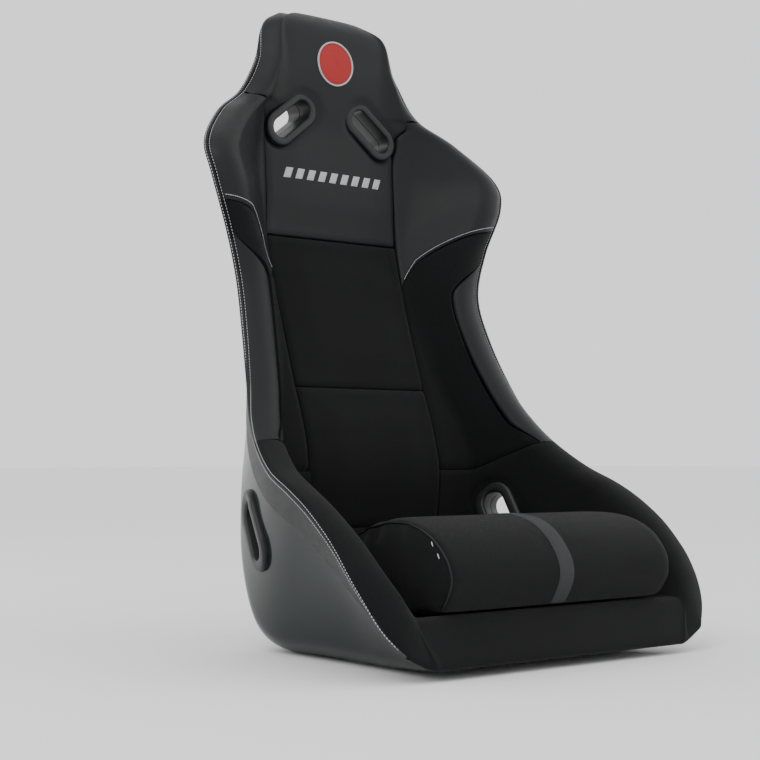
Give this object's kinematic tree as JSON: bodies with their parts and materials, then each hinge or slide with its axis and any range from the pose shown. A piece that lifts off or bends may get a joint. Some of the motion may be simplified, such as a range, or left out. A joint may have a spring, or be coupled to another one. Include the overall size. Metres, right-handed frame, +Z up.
{
  "type": "racing seat",
  "caption": "Fixed-back bucket racing seat: gloss moulded shell, leather and fabric pads, belt slots and a loose roll-shaped seat cushion.",
  "frame": {"origin": "bottom centre of the bounding box, on the surface that the base stands on", "axes": "+Z up, the seat faces -Y, +X to the right in a front view"},
  "size_m": [0.594, 0.5332, 0.903],
  "materials": {
    "gelcoat": "polished dark grey-green gelcoat over glass fibre",
    "leather": "fine grained synthetic leather, satin",
    "fabric": "black knitted mesh fabric over foam",
    "bezel": "moulded satin plastic",
    "band": "woven grey tape",
    "steel": "zinc plated steel",
    "strip": "hook-and-loop tape",
    "embroidery": "embroidered patch with a light edge"
  },
  "bodies": {
    "seat": {"shell": "gelcoat", "head_pad": "leather", "back_panel": "fabric", "lumbar_panel": "fabric", "base_liner": "fabric", "front_lip_pad": "fabric", "shoulder_pad_right": "leather", "shoulder_pad_left": "leather", "bolster_fabric_right": "fabric", "bolster_fabric_left": "fabric", "rim_panel_right": "leather", "rim_panel_left": "leather", "thigh_bolster_right": "fabric", "thigh_bolster_left": "fabric", "edge_wrap_right": "leather", "edge_wrap_left": "leather", "head_wrap": "leather", "shoulder_bezel_outer_right": "bezel", "shoulder_bezel_outer_left": "bezel", "shoulder_bezel_inner_right": "bezel", "shoulder_bezel_inner_left": "bezel", "lap_bezel_outer_right": "bezel", "lap_bezel_outer_left": "bezel", "lap_bezel_inner_right": "bezel", "lap_bezel_inner_left": "bezel", "base_insert_left_rear": "steel", "base_insert_left_front": "steel", "base_insert_right_rear": "steel", "base_insert_right_front": "steel", "hook_strip_right": "strip", "hook_strip_left": "strip", "head_patch": "embroidery"},
    "cushion": {"seat_cushion": "fabric", "cushion_band": "band", "loop_strip_right": "strip", "loop_strip_left": "strip"}
  },
  "joints": [
    {"name": "cushion_lift", "type": "slide", "parent": "seat", "child": "cushion", "axis": [0, 0, 1], "range_m": [0, 0.15]}
  ]
}
